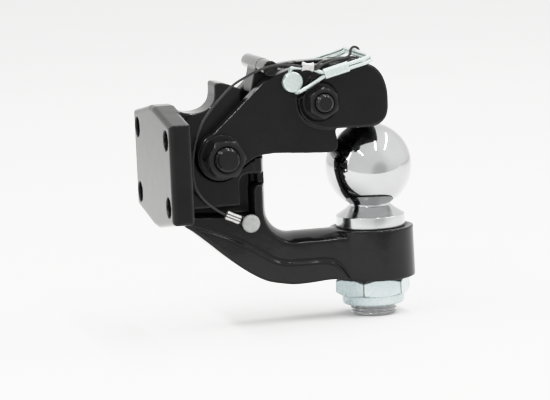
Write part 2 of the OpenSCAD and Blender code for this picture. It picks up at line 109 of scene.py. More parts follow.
# ------------------------------------------------------------------ node helpers
class Mat:
    """A material with a Principled shader and short ways to add nodes. Coordinates are the object's own, in metres."""

    def __init__(self, name):
        self.m = bpy.data.materials.new(name)
        self.m.use_nodes = True
        self.t = self.m.node_tree
        self.t.nodes.clear()
        out = self.t.nodes.new("ShaderNodeOutputMaterial")
        self.p = self.t.nodes.new("ShaderNodeBsdfPrincipled")
        self.t.links.new(self.p.outputs[0], out.inputs[0])
        self.co = self.t.nodes.new("ShaderNodeTexCoord").outputs["Object"]

    def set(self, **k):
        for n, v in k.items():
            self.p.inputs[n.replace("_", " ")].default_value = v
        return self

    def link(self, a, b):
        self.t.links.new(a, b)

    def noise(self, scale, detail=2.0, rough=0.5, stretch=None, distort=0.0):
        n = self.t.nodes.new("ShaderNodeTexNoise")
        n.inputs["Scale"].default_value = scale
        n.inputs["Detail"].default_value = detail
        n.inputs["Roughness"].default_value = rough
        n.inputs["Distortion"].default_value = distort
        src = self.co
        if stretch:
            mp = self.t.nodes.new("ShaderNodeMapping")
            mp.inputs["Scale"].default_value = stretch
            self.link(self.co, mp.inputs["Vector"])
            src = mp.outputs[0]
        self.link(src, n.inputs["Vector"])
        return n.outputs["Fac"]

    def voronoi(self, scale, feature="F1"):
        n = self.t.nodes.new("ShaderNodeTexVoronoi")
        n.feature = feature
        n.inputs["Scale"].default_value = scale
        self.link(self.co, n.inputs["Vector"])
        return n.outputs["Distance"]

    def ramp(self, fac, *stops):
        n = self.t.nodes.new("ShaderNodeValToRGB")
        e = n.color_ramp.elements
        while len(e) < len(stops):
            e.new(0.5)
        for x, (pos, c) in zip(e, stops):
            x.position = pos
            x.color = c if len(c) == 4 else (*c, 1)
        self.link(fac, n.inputs["Fac"])
        return n.outputs["Color"]

    def range(self, fac, a, b, c, d):
        n = self.t.nodes.new("ShaderNodeMapRange")
        for i, v in zip((1, 2, 3, 4), (a, b, c, d)):
            n.inputs[i].default_value = v
        self.link(fac, n.inputs[0])
        return n.outputs[0]

    def math(self, op, a, b):
        n = self.t.nodes.new("ShaderNodeMath")
        n.operation = op
        for i, v in enumerate((a, b)):
            if isinstance(v, (int, float)):
                n.inputs[i].default_value = v
            else:
                self.link(v, n.inputs[i])
        return n.outputs[0]

    def mix(self, fac, a, b):
        n = self.t.nodes.new("ShaderNodeMix")
        n.data_type = "RGBA"
        for key, v in ((0, fac), (6, a), (7, b)):
            if isinstance(v, (int, float, tuple)):
                n.inputs[key].default_value = v if not isinstance(v, tuple) else (*v, 1)
            else:
                self.link(v, n.inputs[key])
        return n.outputs[2]

    def bump(self, height, strength, dist, normal=None):
        n = self.t.nodes.new("ShaderNodeBump")
        n.inputs["Strength"].default_value = strength
        n.inputs["Distance"].default_value = dist
        self.link(height, n.inputs["Height"])
        if normal is not None:
            self.link(normal, n.inputs["Normal"])
        return n.outputs[0]

    def point(self):
        return self.t.nodes.new("ShaderNodeNewGeometry").outputs["Pointiness"]

    def to(self, socket, name):
        self.link(socket, self.p.inputs[name])
        return self


def crevice(m, dist, lo=0.35, hi=0.85):
    """0 in deep corners, 1 on open faces."""
    n = m.t.nodes.new("ShaderNodeAmbientOcclusion")
    n.samples = 8
    n.inputs["Distance"].default_value = dist
    return m.range(n.outputs["AO"], lo, hi, 0.0, 1.0)


def paint_material(name="black_paint", ior=1.285):
    m = Mat(name)
    m.set(IOR=ior, Coat_Weight=0.0)
    open_face = crevice(m, 0.012, 0.42, 0.82)
    # painted highlight: convex edges are painted lighter
    edge_highlight = m.range(m.point(), 0.52, 0.62, 0.0, 1.0)
    base = m.ramp(m.noise(38, 4, 0.6), (0.3, (0.0036, 0.0036, 0.0038)), (0.7, (0.0062, 0.0061, 0.0063)))
    base = m.mix(m.math("MULTIPLY", edge_highlight, 0.30), base, (0.030, 0.029, 0.029))
    dust = m.range(m.noise(420, 6, 0.72), 0.68, 0.82, 0.0, 0.18)
    base = m.mix(dust, base, (0.045, 0.044, 0.043))
    # painted shade: the paint's colour goes darker in corners and hollows, where the occlusion mask is low
    base = m.mix(open_face, (0.0022, 0.0022, 0.0023), base)
    m.to(base, "Base Color")
    rough = m.range(m.noise(120, 5, 0.6), 0.3, 0.72, 0.08, 0.16)
    rough = m.math("ADD", rough, m.math("MULTIPLY", m.math("SUBTRACT", 1.0, open_face), 0.35))
    m.to(rough, "Roughness")
    n1 = m.bump(m.noise(75, 3, 0.55), 0.16, 0.0005)
    n2 = m.bump(m.noise(620, 2, 0.5), 0.10, 0.00014, n1)
    m.to(n2, "Normal")
    return m.m


def black_hardware_material():
    m = Mat("black_hardware")
    m.set(IOR=1.30)
    base = m.ramp(m.noise(90, 4, 0.6), (0.3, (0.0045, 0.0045, 0.0048)), (0.7, (0.0080, 0.0079, 0.0080)))
    dust = m.range(m.noise(500, 5, 0.7), 0.66, 0.82, 0.0, 0.12)
    base = m.mix(dust, base, (0.04, 0.039, 0.038))
    m.to(base, "Base Color")
    m.to(m.range(m.noise(200, 4, 0.6), 0.3, 0.7, 0.12, 0.20), "Roughness")
    m.to(m.bump(m.noise(260, 3, 0.55), 0.08, 0.0002), "Normal")
    return m.m


def chrome_material():
    m = Mat("chrome")
    m.set(Metallic=1.0)
    m.to(m.ramp(m.noise(60, 3, 0.5), (0.3, (0.405, 0.409, 0.413)), (0.7, (0.440, 0.444, 0.448))), "Base Color")
    smear = m.noise(110, 5, 0.62, (1, 1, 0.45))
    # the turned flange is less polished than the ball
    sep = m.t.nodes.new("ShaderNodeSeparateXYZ")
    m.link(m.co, sep.inputs[0])
    satin = m.range(sep.outputs["Z"], -0.0405, -0.0395, 0.15, 0.0)
    m.to(m.math("ADD", m.range(smear, 0.35, 0.75, 0.03, 0.08), satin), "Roughness")
    m.to(m.bump(m.noise(900, 2, 0.5, (0.25, 0.25, 6)), 0.05, 0.00005), "Normal")
    return m.m


def zinc_material(name="zinc", nut=False):
    m = Mat(name)
    m.set(Metallic=0.60 if nut else 0.42)
    if nut:
        a = m.ramp(m.noise(70, 2, 0.5), (0.28, (0.385, 0.455, 0.472)), (0.5, (0.415, 0.482, 0.492)), (0.74, (0.44, 0.502, 0.506)))
    else:
        a = m.ramp(m.noise(120, 3, 0.5), (0.28, (0.44, 0.515, 0.49)), (0.5, (0.48, 0.548, 0.522)), (0.74, (0.51, 0.572, 0.548)))
    patch = m.range(m.noise(60, 3, 0.55), 0.52, 0.78, 0.0, 0.25)
    a = m.mix(patch, a, (0.38, 0.44, 0.50) if nut else (0.45, 0.51, 0.55))
    if nut:
        # darker brownish lines along the six corners
        sep = m.t.nodes.new("ShaderNodeSeparateXYZ")
        m.link(m.co, sep.inputs[0])
        turn = m.math("ARCTAN2", sep.outputs["Y"], m.math("SUBTRACT", sep.outputs["X"], 0.1495))
        corner = m.math("PINGPONG", m.math("ADD", m.math("MULTIPLY", turn, 3 / PI), 6.0), 0.5)
        line = m.range(m.math("ADD", corner, m.range(m.noise(900, 3, 0.6), 0.3, 0.7, -0.008, 0.008)), 0.009, 0.026, 1.0, 0.0)
        line = m.math("MULTIPLY", line, m.range(sep.outputs["Z"], -0.0982, -0.0974, 0.0, 1.0))
        a = m.mix(m.math("MULTIPLY", line, 0.85), a, (0.055, 0.050, 0.036))
    m.to(a, "Base Color")
    m.to(m.range(m.noise(240, 4, 0.6), 0.3, 0.75, 0.20, 0.32), "Roughness")
    m.to(m.bump(m.noise(260, 3, 0.5), 0.05, 0.00008), "Normal")
    return m.m


def cable_material():
    m = Mat("cable_steel")
    m.set(Metallic=0.0, IOR=1.42)
    m.to(m.ramp(m.noise(700, 5, 0.65), (0.3, (0.008, 0.008, 0.008)), (0.6, (0.016, 0.0157, 0.0153)), (0.85, (0.036, 0.035, 0.034))), "Base Color")
    m.to(m.range(m.noise(900, 4, 0.6), 0.3, 0.7, 0.30, 0.44), "Roughness")
    m.to(m.bump(m.noise(2600, 3, 0.6), 0.2, 0.00006), "Normal")
    return m.m


def aluminium_material(name="aluminium_crimp", lines=None):
    """lines: a place on the sleeve, its tilt and the height of the two grooves along it, in mm, where dark lines are
    painted as painted shade.
    """
    m = Mat(name)
    m.set(Metallic=0.45)
    if lines is None:
        a = m.ramp(m.noise(320, 5, 0.6), (0.3, (0.40, 0.395, 0.393)), (0.7, (0.52, 0.512, 0.508)))
    else:
        (x, z), tilt, high = lines
        a = m.ramp(m.noise(320, 5, 0.6), (0.3, (0.44, 0.432, 0.43)), (0.7, (0.54, 0.532, 0.53)))
        sep = m.t.nodes.new("ShaderNodeSeparateXYZ")
        m.link(m.co, sep.inputs[0])
        across = m.math("ADD", m.math("MULTIPLY", m.math("SUBTRACT", sep.outputs["X"], x * MM), math.sin(tilt)),
                        m.math("MULTIPLY", m.math("SUBTRACT", sep.outputs["Z"], z * MM), math.cos(tilt)))
        off = m.math("SUBTRACT", m.math("MAXIMUM", across, m.math("MULTIPLY", across, -1.0)), high * MM)
        off = m.math("MAXIMUM", off, m.math("MULTIPLY", off, -1.0))
        # painted shade: dark lines painted along the two grooves
        a = m.mix(m.range(off, 0.00022, 0.00046, 0.82, 0.0), a, (0.020, 0.020, 0.020))
    m.to(a, "Base Color")
    m.to(m.range(m.noise(520, 5, 0.65), 0.3, 0.75, 0.26, 0.42), "Roughness")
    m.to(m.bump(m.noise(1400, 4, 0.6, (1, 1, 1)), 0.12, 0.00006), "Normal")
    return m.m


def rivet_material():
    m = Mat("rivet_aluminium")
    m.set(Metallic=0.25)
    a = m.ramp(m.noise(260, 5, 0.6), (0.3, (0.235, 0.242, 0.238)), (0.7, (0.305, 0.312, 0.307)))
    a = m.mix(m.range(m.noise(700, 4, 0.6), 0.58, 0.74, 0.0, 0.40), a, (0.24, 0.24, 0.236))
    m.to(a, "Base Color")
    m.to(m.range(m.noise(520, 5, 0.65), 0.3, 0.75, 0.44, 0.60), "Roughness")
    m.to(m.bump(m.noise(1100, 4, 0.6), 0.25, 0.0001), "Normal")
    return m.m


def nylon_material():
    m = Mat("nylon")
    m.set(IOR=1.53)
    m.to(m.ramp(m.noise(180, 4, 0.55), (0.3, (0.62, 0.66, 0.62)), (0.7, (0.74, 0.77, 0.72))), "Base Color")
    m.to(m.range(m.noise(400, 4, 0.6), 0.3, 0.7, 0.42, 0.6), "Roughness")
    m.to(m.bump(m.noise(1200, 3, 0.5), 0.15, 0.0001), "Normal")
    return m.m


PAINT = paint_material()
BLACK = black_hardware_material()
CHROME = chrome_material()
ZINC = zinc_material()
CABLE = cable_material()
ALU = aluminium_material()
RIVET = rivet_material()
NUT_ZINC = zinc_material("zinc_nut", nut=True)
# lit copy of the black paint: a higher IOR makes the rod's side and the lever's barrel reflect more, a painted sheen
LIT_ROD_PAINT = paint_material("black_paint_rod", 1.80)
GROOVE_SHADE_ALU = aluminium_material("aluminium_crimp_groove_shade", ((48.2, -35.2), rad(25), 0.95))
NYLON = nylon_material()


# ------------------------------------------------------------------ mesh helpers
def make(name, parts, mat, sharp=38, body=None, node=None, slot=None):
    """One object from [(points in mm, faces)]."""
    verts, faces = [], []
    for v, f in parts:
        base = len(verts)
        verts += [tuple(c * MM for c in p) for p in v]
        faces += [tuple(i + base for i in q) for q in f]
    me = bpy.data.meshes.new(name)
    me.from_pydata(verts, [], faces)
    bm = bmesh.new()
    bm.from_mesh(me)
    bmesh.ops.recalc_face_normals(bm, faces=bm.faces)
    bm.to_mesh(me)
    bm.free()
    me.shade_smooth()
    me.set_sharp_from_angle(angle=rad(sharp))
    ob = bpy.data.objects.new(name, me)
    scene.collection.objects.link(ob)
    me.materials.append(mat)
    if node:
        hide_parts(node)
    if body:
        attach(ob, body)
    return ob


def skin(rings, loop=False, caps=(True, True)):
    """Quads over closed rings of equal count. loop joins the last ring to the first."""
    n, m = len(rings[0]), len(rings)
    verts = [tuple(p) for r in rings for p in r]
    faces = []
    for i in range(m if loop else m - 1):
        a, b = i * n, ((i + 1) % m) * n
        for k in range(n):
            j = (k + 1) % n
            faces.append((a + k, a + j, b + j, b + k))
    if not loop:
        for end, on in ((0, caps[0]), (m - 1, caps[1])):
            if on:
                c = [sum(p[i] for p in rings[end]) / n for i in range(3)]
                verts.append(tuple(c))
                ci = len(verts) - 1
                faces += [(end * n + k, end * n + (k + 1) % n, ci) for k in range(n)]
    return verts, faces


def around(axis, c, radius, h, segs):
    """A ring round an axis. c is the axis's place in the other two coordinates, radius a number or a function of the angle."""
    out = []
    for k in range(segs):
        t = 2 * PI * k / segs
        r = radius(t) if callable(radius) else radius
        a, b = c[0] + r * math.cos(t), c[1] + r * math.sin(t)
        out.append((a, b, h) if axis == "Z" else (a, h, b))
    return out


def lathe(axis, c, profile, segs=96, loop=False, caps=(True, True)):
    return skin([around(axis, c, r, h, segs) for r, h in profile], loop, caps)


def fillet(points, r, n=5, closed=False):
    """A polyline with its corners rounded to radius r, or to each corner's own radius as a third value."""
    out, m = [], len(points)
    for i, p in enumerate(points):
        rr = p[2] if len(p) > 2 else r
        if (not closed and i in (0, m - 1)) or rr <= 0:
            out.append((p[0], p[1]))
            continue
        a, b, c = Vector(points[i - 1][:2]), Vector(p[:2]), Vector(points[(i + 1) % m][:2])
        u, v = (a - b), (c - b)
        d = min(rr, u.length * 0.48, v.length * 0.48)
        s, e = b + u.normalized() * d, b + v.normalized() * d
        for k in range(n + 1):
            t = k / n
            q = s * (1 - t) ** 2 + b * 2 * t * (1 - t) + e * t * t
            out.append((q.x, q.y))
    return out


def hex_radius(af, t, rot):
    x = (t - rot) % (PI / 3)
    return min(af / 2 / math.cos(x - PI / 6), af / math.sqrt(3) - 0.22)


def hex_block(axis, c, af, h0, h1, rot, low=True, high=True, bore=None, drop=0.35, segs=180, seat=0.0):
    """A hexagon with turned corners. low and high say which ends are chamfered; bore makes it a nut; seat is not used.
    """
    slope = 1.75
    reach = (af / math.sqrt(3) - af / 2 + drop) / slope

    def wall(h):
        lim = 1e9
        if low:
            lim = min(lim, af / 2 - drop + (h - h0) * slope)
        if high:
            lim = min(lim, af / 2 - drop + (h1 - h) * slope)
        return lambda t: min(hex_radius(af, t, rot), lim)

    hs = [h0 + reach * k / 12 for k in range(13)] + [h1 - reach * k / 12 for k in range(12, -1, -1)]
    rings = [around(axis, c, wall(h), h, segs) for h in hs]
    if bore is None:
        rings = [around(axis, c, 0.6 * af / 2, h0, segs)] + rings + [around(axis, c, 0.6 * af / 2, h1, segs)]
        return skin(rings)
    inner = [around(axis, c, bore + 1.1, h1, segs), around(axis, c, bore, h1 - 1.0, segs), around(axis, c, bore, h0 + 1.0, segs), around(axis, c, bore + 1.1, h0, segs)]
    return skin(rings + inner, loop=True)


def threaded(axis, c, R, pitch, h0, h1, depth=None, chamfer=1.4, segs=96, step=0.16, runout=0.0):
    """A threaded end from h0 to its tip at h1, rising or falling along the axis."""
    depth = depth or 0.55 * pitch
    d = 1 if h1 > h0 else -1
    n = max(8, int(abs(h1 - h0) / step))
    rings = []
    for i in range(n + 1):
        h = h0 + (h1 - h0) * i / n
        left = abs(h1 - h)
        lim = R - chamfer + left * 1.0 if left < chamfer else R

        def r(t, h=h, lim=lim):
            x = (h / pitch - d * t / (2 * PI)) % 1.0
            w = abs(x - 0.5) * 2
            w = max(0.0, min(1.0, (w - 0.12) / 0.72))
            fade = 1.0 if runout <= 0 else min(1.0, abs(h - h0) / runout)
            return min(R - depth * (1 - w) * fade, lim)

        rings.append(around(axis, c, r, h, segs))
    rings.append(around(axis, c, max(0.3, (R - chamfer) * 0.55), h1 + d * 0.12, segs))
    return skin(rings)


def cr(a, b, c, d, t):
    return 0.5 * (2 * b + (c - a) * t + (2 * a - 5 * b + 4 * c - d) * t * t + (3 * b - a - 3 * c + d) * t * t * t)


def smooth(points, n):
    p = [Vector(q) for q in points]
    out = []
    for i in range(len(p) - 1):
        for k in range(n):
            out.append(cr(p[max(i - 1, 0)], p[i], p[i + 1], p[min(i + 2, len(p) - 1)], k / n))
    return out + [p[-1]]


def evenly(line, step):
    along = [0.0]
    for a, b in zip(line, line[1:]):
        along.append(along[-1] + (b - a).length)
    n = max(2, int(round(along[-1] / step)))
    out, j = [], 0
    for i in range(n + 1):
        s = along[-1] * i / n
        while j < len(line) - 2 and along[j + 1] < s:
            j += 1
        f = (s - along[j]) / max(along[j + 1] - along[j], 1e-9)
        out.append(line[j].lerp(line[j + 1], min(max(f, 0), 1)))
    return out


def sweep(line, radius, segs, twist=0.0, caps=(True, True), turn=0.0):
    """A tube along points. radius is a number or a function of the angle. twist is in radians for each mm; the frame is carried along without turning."""
    tangent = [(line[min(i + 1, len(line) - 1)] - line[max(i - 1, 0)]).normalized() for i in range(len(line))]
    up = Vector((0, 1, 0)) if abs(tangent[0].y) < 0.9 else Vector((0, 0, 1))
    u = (up - tangent[0] * up.dot(tangent[0])).normalized()
    rings, s = [], 0.0
    for i, p in enumerate(line):
        if i:
            s += (p - line[i - 1]).length
            u = (u - tangent[i] * u.dot(tangent[i])).normalized()
        v = tangent[i].cross(u)
        a0 = turn + twist * s
        ring = []
        for k in range(segs):
            t = 2 * PI * k / segs
            r = radius(t) if callable(radius) else radius
            ring.append(p + r * (math.cos(t + a0) * u + math.sin(t + a0) * v))
        rings.append(ring)
    return skin(rings, caps=caps)


# ------------------------------------------------------------------ lanyard routes, as in the CAD source, in mm
LOW, LOW_A = Vector((48.2, -22, -35.2)), rad(25)
UPS, UP_A = Vector((100.2, -35.3, 63.4)), rad(8)


def low_pt(x, z, y=0.0):
    return LOW + Vector((x * math.cos(LOW_A) + z * math.sin(LOW_A), y, z * math.cos(LOW_A) - x * math.sin(LOW_A)))


def up_pt(x, z, y=0.0):
    return UPS + Vector((x * math.cos(UP_A) + z * math.sin(UP_A), y, z * math.cos(UP_A) - x * math.sin(UP_A)))


MAIN = [low_pt(-4.5, 0), low_pt(-7, 0)] + [Vector(p) for p in (
    (36.2, -23.4, -28.6), (28, -26, -21.4), (22.6, -28, -13.4), (20.4, -29.6, -4), (20.6, -31, 8), (23.2, -32, 20.6), (27.4, -32.6, 30.6),
    (33.4, -33.2, 39), (40, -33.6, 46.2), (49, -34, 54.4), (58, -34.2, 59.4), (65, -34.4, 62.6), (73, -34.6, 65), (80.6, -34.8, 65.9), (89, -35, 65.2))] + [
    up_pt(-7, 0), up_pt(-4.2, 0)]
LOW_LOOP = [low_pt(4.5, 1.1), low_pt(6, 1.2, 0.4)] + [Vector(p) for p in (
    (56.4, -21.3, -36), (59, -21.3, -35.4), (61.8, -21.3, -35.9), (64, -21.3, -37.8), (64.8, -21.3, -40.6), (63.8, -21.3, -43.3), (61, -21.3, -44.8),
    (58, -21.3, -44.4), (55.7, -21.3, -42))] + [low_pt(6, -1.2, 0.4), low_pt(4.5, -1.1)]
UP_LOOP = [up_pt(3.6, 1.1), up_pt(5.9, 1.3)] + [Vector(p) for p in (
    (110.8, -29.8, 65.3), (115.2, -22.8, 65), (123.6, -13, 64.6), (130.6, -5.2, 64.1), (136.2, 0.8, 63.9), (139.4, 3.8, 64.4), (141.3, 5.3, 66.2), (141.8, 6, 68.4),
    (143.4, 6.3, 70.1), (145.5, 6.4, 70.1), (147.2, 6.4, 68.9), (148, 6.4, 66.6), (147.9, 6.4, 64.2), (146.8, 6.3, 62.8), (145.2, 6, 62.68), (142.2, 4, 63.55),
    (138.4, 0, 63.65), (131.8, -7.2, 63.8), (124.4, -15.4, 64.15), (115.6, -25.2, 63.75), (110.2, -31.6, 63.1))] + [
    up_pt(5.9, -1.1), up_pt(3.6, -1.1)]
CABLE_R = 0.9


def strands(t):
    """Section of a cable of six outer strands."""
    return CABLE_R * (0.80 + 0.20 * abs(math.cos(3 * t)) ** 0.55)


def cable(name, line, **k):
    line = evenly(line, 0.42)
    ob = make(name, [sweep(line, strands, 36, twist=2 * PI / 11.5)], CABLE, sharp=70, **k)
    return ob, line


# ------------------------------------------------------------------ cords
SPLIT = 11                                     # where the cable is let go by the jaw
fine = smooth(MAIN, 10)
lower_line, upper_line = fine[: SPLIT * 10 + 1], fine[SPLIT * 10:]
lower_line = [low_pt(-2.2, 0)] + lower_line
upper_line = upper_line + [up_pt(-2.0, 0)]

lower_cable, path = cable("lanyard_cable_lower", lower_line, node="lanyard_cable", slot="cable_steel")
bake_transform(lower_cable)

upper_cable, path = cable("lanyard_cable_upper", upper_line, node="lanyard_cable", slot="cable_steel")
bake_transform(upper_cable)

ob, path = cable("lanyard_lower_eye", [low_pt(2.5, 1.1)] + smooth(LOW_LOOP, 8) + [low_pt(2.5, -1.1)], node="lanyard_lower_loop", body="hook_body", slot="cable_steel")
ob, path = cable("lanyard_upper_eye", [up_pt(1.6, 1.1)] + smooth(UP_LOOP, 8) + [up_pt(1.6, -1.1)], node="lanyard_upper_loop", body="safety_pin", slot="cable_steel")


# ------------------------------------------------------------------ sleeves and rivet
def crimp(name, place, half, tall, thick, squeeze, node, body, mat, ridges=()):
    """Pressed double sleeve. squeeze(x) is the share of the section left at x; ridges are the heights of the grooves that run along it."""
    rings, segs = [], 112
    xs = [-half + 0.0] + [-half + 2 * half * i / 60 for i in range(61)] + [half]
    for i, x in enumerate(xs):
        k = squeeze(x)
        e = half - abs(x)
        if e < 0.45:
            k *= 1 - 0.13 * (1 - e / 0.45) ** 2
        if i in (0, len(xs) - 1):
            k *= 0.55
        ring = []
        for j in range(segs):
            t = 2 * PI * j / segs
            c, s = math.cos(t), math.sin(t)
            z = tall * k * math.copysign(abs(c) ** 0.82, c)
            cut = sum(math.exp(-(((z - g) / 0.30) ** 2)) for g in ridges)
            y = thick * (0.55 + 0.45 * k) * math.copysign(abs(s) ** 0.82, s) * (1 - 0.55 * cut)
            if not ridges:
                y *= 1 - 0.10 * math.exp(-((z / 0.7) ** 2))
            ring.append(place(x, z, y))
        rings.append(ring)
    return make(name, [skin(rings)], mat, sharp=50, node=node, body=body, slot="aluminium_crimp")


def low_squeeze(x):
    return 1 - 0.05 * math.exp(-((x / 1.2) ** 2))


def up_squeeze(x):
    return 0.74 + 0.26 * min(1.0, (abs(x) / 3.3) ** 2)


crimp("lanyard_sleeve_lower", low_pt, 5.1, 3.0, 1.7, low_squeeze, "lanyard_lower_sleeve", "hook_body", GROOVE_SHADE_ALU, (-0.95, 0.95))
crimp("lanyard_sleeve_upper", up_pt, 3.9, 3.15, 1.7, up_squeeze, "lanyard_upper_sleeve", "safety_pin", ALU)

RIV = (59.9, -40)
make("lanyard_rivet_head", [lathe("Y", RIV, fillet([(0.05, -9), (3, -9), (3, -22.9), (6.05, -22.9), (6.15, -24.4, 0.5), (5.55, -25.4, 1.0), (3.6, -26.15, 1.2), (0.05, -26.4)], 0.3, 5), 72)],
     RIVET, sharp=40, node="lanyard_rivet", body="hook_body", slot="aluminium_crimp")


# ------------------------------------------------------------------ forgings
class Outline:
    """A closed 2-D outline in mm. at() gives each point's depth inside it and the way inwards."""

    def __init__(self, pts):
        p = np.array([tuple(q)[:2] for q in pts], float)
        x, y = p[:, 0], p[:, 1]
        if np.sum(x * np.roll(y, -1) - np.roll(x, -1) * y) < 0:
            p = p[::-1]
        self.a, self.b = p, np.roll(p, -1, 0)

    def at(self, q):
        depth, way = np.empty(len(q)), np.empty((len(q), 2))
        e = self.b - self.a
        l2 = (e * e).sum(1)
        inward = np.stack([-e[:, 1], e[:, 0]], 1) / np.sqrt(l2)[:, None]
        for s in range(0, len(q), 20000):
            w = q[s:s + 20000, None] - self.a[None]
            t = np.clip((w * e[None]).sum(2) / l2[None], 0, 1)
            off = w - t[..., None] * e[None]
            d2 = (off * off).sum(2)
            k = d2.argmin(1)
            r = np.arange(len(k))
            d = np.sqrt(d2[r, k])
            side = np.sign((off[r, k] * inward[k]).sum(1))
            side[side == 0] = 1
            depth[s:s + 20000] = d * side
            tk = t[r, k]
            before, after = inward[k - 1], inward[(k + 1) % len(inward)]
            near = inward[k] + np.clip(0.5 - tk, 0, 1)[:, None] * before + np.clip(tk - 0.5, 0, 1)[:, None] * after
            way[s:s + 20000] = near / np.linalg.norm(near, axis=1)[:, None]
        return depth, way


def round_edges(co, outline, axes, centre, half, radius):
    """Rounds the edges between an outline's wall and the faces half either side of centre. axes are the outline's two and the one across; radius(co) is each point's own."""
    u, v, w = axes
    R = np.maximum(radius(co), 1e-3)
    h = np.abs(co[:, w] - centre)
    pick = np.nonzero((h > half - R) & (h < half + 0.4) & (R > 0.05))[0]
    d, way = outline.at(co[pick][:, [u, v]])
    ok = (d < R[pick]) & (d > -0.8)
    pick, d, way = pick[ok], d[ok], way[ok]
    r = R[pick]
    q0, q1 = r - d, h[pick] - (half - r)
    L = np.hypot(q0, q1)
    f = np.where(L > r, r / np.maximum(L, 1e-9), 1.0)
    move = q0 - q0 * f
    co[pick, u] += way[:, 0] * move
    co[pick, v] += way[:, 1] * move
    co[pick, w] = centre + np.sign(co[pick, w] - centre) * (half - r + q1 * f)


def step(x, a, b):
    t = np.clip((x - a) / (b - a), 0, 1)
    return t * t * (3 - 2 * t)


def forge(node, name, voxel, rounds, keep, body, shape=None, crisp=None, soft=None, wave=0.05, flat=None):
    """A forging from its CAD solid: edges rounded by shape(co) and by smoothing, faces slightly uneven. crisp(co) from 0 to 1 says where edges stay sharper, soft(co) where hollows are rounded out; flat(p) is true on machined faces."""
    ob = bpy.data.objects.new(name, NODES[node].data.copy())
    scene.collection.objects.link(ob)

    def apply():
        bpy.context.view_layer.update()
        me = bpy.data.meshes.new_from_object(ob.evaluated_get(bpy.context.evaluated_depsgraph_get()))
        ob.modifiers.clear()
        ob.data = me
        return me

    def points(me):
        co = np.empty(len(me.vertices) * 3)
        me.vertices.foreach_get("co", co)
        return co.reshape(-1, 3) / MM

    def group(label, weight):
        g = ob.vertex_groups.new(name=label)
        weight = np.round(weight, 2)
        for w in np.unique(weight):
            g.add([int(i) for i in np.nonzero(weight == w)[0]], float(w), "REPLACE")

    mod = ob.modifiers.new("remesh", "REMESH")
    mod.mode, mod.voxel_size, mod.adaptivity = "VOXEL", voxel * MM, 0.0
    me = apply()
    co = points(me)
    group("even", 1 - crisp(co) if crisp else np.ones(len(co)))
    s = ob.modifiers.new("even", "SMOOTH")
    s.factor, s.iterations, s.vertex_group = 0.5, rounds, "even"
    if soft:
        group("soft", soft(co))
        s = ob.modifiers.new("soft", "SMOOTH")
        s.factor, s.iterations, s.vertex_group = 0.5, 24, "soft"
    me = apply()
    if shape:
        co = points(me)
        shape(co)
        me.vertices.foreach_set("co", (co * MM).ravel())
        me.update()
        s = ob.modifiers.new("even", "SMOOTH")
        s.factor, s.iterations, s.vertex_group = 0.5, 1, "even"
    d = ob.modifiers.new("thin", "DECIMATE")
    d.ratio = keep
    me = apply()
    me.name = name
    normals = [v.normal.copy() for v in me.vertices]
    for v, n in zip(me.vertices, normals):
        p = v.co / MM
        if flat is not None and flat(p):
            continue
        v.co = v.co + n * (wave * MM * (noise.noise(p * 0.085) + 0.5 * noise.noise(p * 0.21)))
    me.update()
    ob.vertex_groups.clear()
    me.shade_smooth()
    me.materials.clear()
    me.materials.append(PAINT)
    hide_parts(node)
    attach(ob, body)
    return ob


LATCH = (109.5, 39.0)
NOSE = [(95.2, 41.5), (96, 34), (98.6, 28.6), (103, 24.3), (109, 21.5), (117.4, 20), (129.9, 19.6), (140.3, 19.1), (147, 19.3),
        (152, 21.2), (155.8, 25), (157.4, 30), (157.7, 36), (157.5, 42.5), (156.2, 48.6), (153.6, 54.6), (149.8, 58.9), (146, 61.2),
        (143, 62.2), (138, 62.5), (131, 62.4), (124, 61), (114, 58.4), (105, 54.6), (101.4, 47.6), (98.4, 44)]
nose_outline = Outline(smooth([(*q, 0) for q in NOSE + NOSE[:1]], 4)[:-1])
plate_outline = Outline([(-55, -33), (-55, 33), (-6, 41), (6, 41), (55, 33), (55, -33), (6, -41), (-6, -41)])
RIM_TOP = [(10, -36.5), (18.9, -39), (31, -43.2), (39.8, -46.8), (47.9, -50.3), (61, -57.2), (70.1, -63.2), (76.1, -66.7),
           (83.3, -68.9), (97.6, -69.6), (110.1, -69.7), (117.8, -71.6), (123.1, -77), (127, -83)]
ARM_BOTTOM = [(128, -83.6), (113.8, -83.2), (103.3, -84), (90.7, -84.4), (84.5, -83.7), (72.1, -81.1), (63.9, -77.3),
              (54.2, -71), (42.3, -61.6), (30.6, -51.4), (20.6, -43), (13, -38)]
rim_outline = Outline(smooth([(*q, 0) for q in RIM_TOP], 3) + [(128, -83.6)] + smooth([(*q, 0) for q in ARM_BOTTOM], 3) + [(10, -37.5)])


def shape_jaw(co):
    co[:, 0] -= 0.3 * step(co[:, 0], 140, 156)

    def radius(c):
        x, z = c[:, 0], c[:, 2]
        return 0.5 + 1.3 * step(x, 112, 128) + 0.8 * step(x, 132, 149)
    round_edges(co, nose_outline, (0, 2, 1), 0.0, 27.5, radius)


